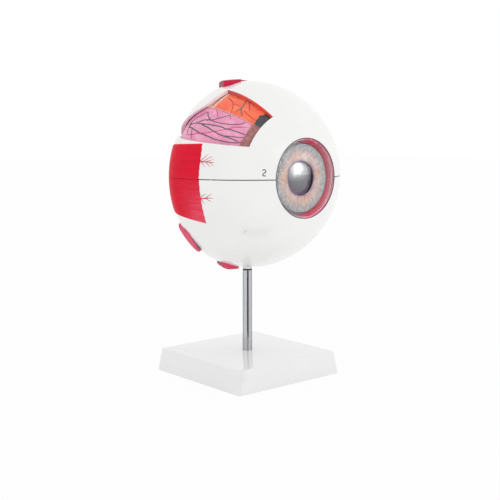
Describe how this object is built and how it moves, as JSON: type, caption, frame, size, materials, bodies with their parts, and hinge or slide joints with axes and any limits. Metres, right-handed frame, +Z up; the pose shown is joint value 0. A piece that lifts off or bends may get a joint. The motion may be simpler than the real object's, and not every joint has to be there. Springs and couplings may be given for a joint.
{
  "type": "eye anatomy model",
  "caption": "Enlarged model of an eye on a rod and square base; white shells open at mid height over coloured inner shells, iris, lens and clear body.",
  "frame": {"origin": "middle of the underside of the base, on the surface that the model stands on", "axes": "+Z up along the rod; -Y the way the eye looks; -X the temple side of the eye; the sides of the base lie along X and Y"},
  "size_m": [0.1594, 0.1376, 0.2508],
  "materials": {
    "base_plastic": "gloss",
    "shell_plastic": "gloss",
    "rod_steel": "polished",
    "washer_rubber": "matt",
    "muscle_red": "satin paint",
    "oblique_pink": "satin paint",
    "nerve_cream": "satin paint",
    "choroid_orange": "satin paint",
    "ciliary_red": "satin paint",
    "retina_pink": "satin paint",
    "iris_paint": "hand-painted",
    "clear_plastic": "clear gloss",
    "lens_plastic": "clear gloss"
  },
  "bodies": {
    "stand": {"base_shell": "base_plastic", "rod": "rod_steel", "rod_washer": "washer_rubber"},
    "lower_shell": {"sclera_lower": "shell_plastic", "lateral_rectus_lower": "muscle_red", "medial_rectus_lower": "muscle_red", "inferior_rectus": "muscle_red", "inferior_oblique": "oblique_pink", "optic_nerve_lower": "nerve_cream"},
    "lower_lining": {"choroid_lower": "choroid_orange", "ciliary_body_lower": "ciliary_red", "retina_lower": "retina_pink", "iris_lower": "iris_paint"},
    "upper_shell": {"sclera_upper": "shell_plastic", "lateral_rectus_upper": "muscle_red", "medial_rectus_upper": "muscle_red", "superior_rectus": "muscle_red", "superior_oblique": "oblique_pink", "optic_nerve_upper": "nerve_cream"},
    "upper_lining": {"choroid_upper": "choroid_orange", "ciliary_body_upper": "ciliary_red", "retina_upper": "retina_pink", "iris_upper": "iris_paint"},
    "clear_body": {"vitreous_body": "clear_plastic"},
    "lens": {"lens": "lens_plastic"},
    "cornea": {"cornea": "clear_plastic"}
  },
  "joints": [
    {"name": "globe_swivel", "type": "hinge", "parent": "stand", "child": "lower_shell", "pos_m": [0, 0, 0.0925], "axis": [0, 0, 1], "continuous": true},
    {"name": "lift_upper_shell", "type": "slide", "parent": "lower_shell", "child": "upper_shell", "axis": [0, 0, 1], "range_m": [0, 0.32]},
    {"name": "lift_upper_lining", "type": "slide", "parent": "lower_shell", "child": "upper_lining", "axis": [0, 0, 1], "range_m": [0, 0.2304]},
    {"name": "lift_clear_body", "type": "slide", "parent": "lower_shell", "child": "clear_body", "axis": [0, 0, 1], "range_m": [0, 0.1536]},
    {"name": "lift_lower_lining", "type": "slide", "parent": "lower_shell", "child": "lower_lining", "axis": [0, 0, 1], "range_m": [0, 0.08]},
    {"name": "lens_forward", "type": "slide", "parent": "clear_body", "child": "lens", "axis": [0, -1, 0], "range_m": [0, 0.0064]},
    {"name": "cornea_off", "type": "slide", "parent": "lower_shell", "child": "cornea", "axis": [0, -1, 0], "range_m": [0, 0.06]}
  ],
  "couplings": [
    {"joint": "lift_upper_lining", "follows": "lift_upper_shell", "ratio": 0.72},
    {"joint": "lift_clear_body", "follows": "lift_upper_shell", "ratio": 0.48},
    {"joint": "lift_lower_lining", "follows": "lift_upper_shell", "ratio": 0.25},
    {"joint": "lens_forward", "follows": "lift_upper_shell", "ratio": 0.02},
    {"joint": "cornea_off", "follows": "lift_upper_shell", "ratio": 0.1875}
  ]
}
